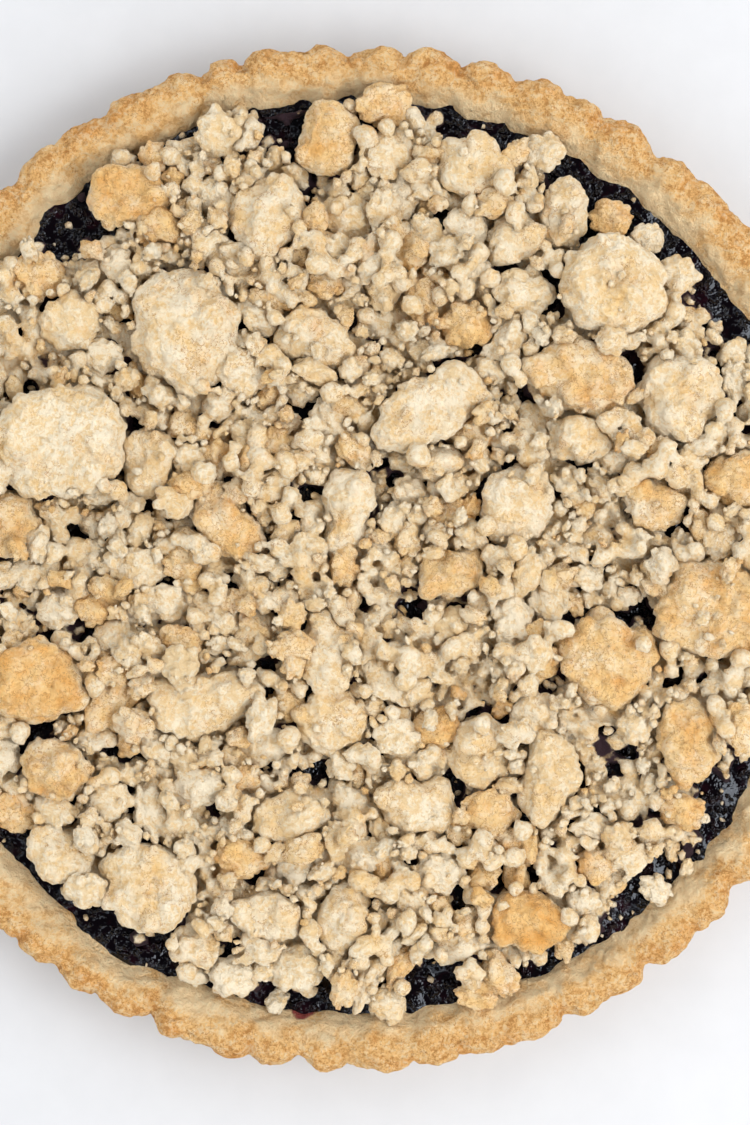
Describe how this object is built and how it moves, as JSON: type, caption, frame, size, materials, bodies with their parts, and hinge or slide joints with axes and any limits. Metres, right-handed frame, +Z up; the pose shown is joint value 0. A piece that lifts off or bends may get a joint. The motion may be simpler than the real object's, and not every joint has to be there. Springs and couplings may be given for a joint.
{
  "type": "cherry tart",
  "caption": "Round shallow tart: fluted baked shortcrust shell filled with dark cherry filling, topped with a loose bed of crumble and large baked crumble lumps",
  "frame": {"origin": "middle of the flat underside", "axes": "+Z is up; +X and +Y lie in the plane of the base, with +Y away from a viewer who stands in front of the tart"},
  "size_m": [0.2796, 0.2796, 0.0393],
  "materials": {
    "crust": "baked shortcrust, dry and sandy, golden with browner flutes and rim, paler inside",
    "filling": "thick dark cherry filling, near black with a purple-red cast, glossy and lumpy",
    "crumble": "baked butter crumble, dry and sandy, pale beige with a few toasted sides"
  },
  "bodies": {
    "root": {"crust": "crust", "filling": "filling", "crumble_bed": "crumble", "lump_01": "crumble", "lump_02": "crumble", "lump_03": "crumble", "lump_04": "crumble", "lump_05": "crumble", "lump_06": "crumble", "lump_07": "crumble", "lump_08": "crumble", "lump_09": "crumble", "lump_10": "crumble", "lump_11": "crumble", "lump_12": "crumble", "lump_13": "crumble", "lump_14": "crumble", "lump_15": "crumble", "lump_16": "crumble", "lump_17": "crumble", "lump_18": "crumble", "lump_19": "crumble", "lump_20": "crumble", "lump_21": "crumble", "lump_22": "crumble", "lump_23": "crumble", "lump_24": "crumble", "lump_25": "crumble", "lump_26": "crumble", "lump_27": "crumble", "lump_28": "crumble", "lump_29": "crumble", "lump_30": "crumble", "lump_31": "crumble", "lump_32": "crumble", "lump_33": "crumble", "lump_34": "crumble", "lump_35": "crumble", "lump_36": "crumble", "lump_37": "crumble", "lump_38": "crumble", "lump_39": "crumble", "lump_40": "crumble", "lump_41": "crumble", "lump_42": "crumble", "lump_43": "crumble"}
  },
  "joints": []
}
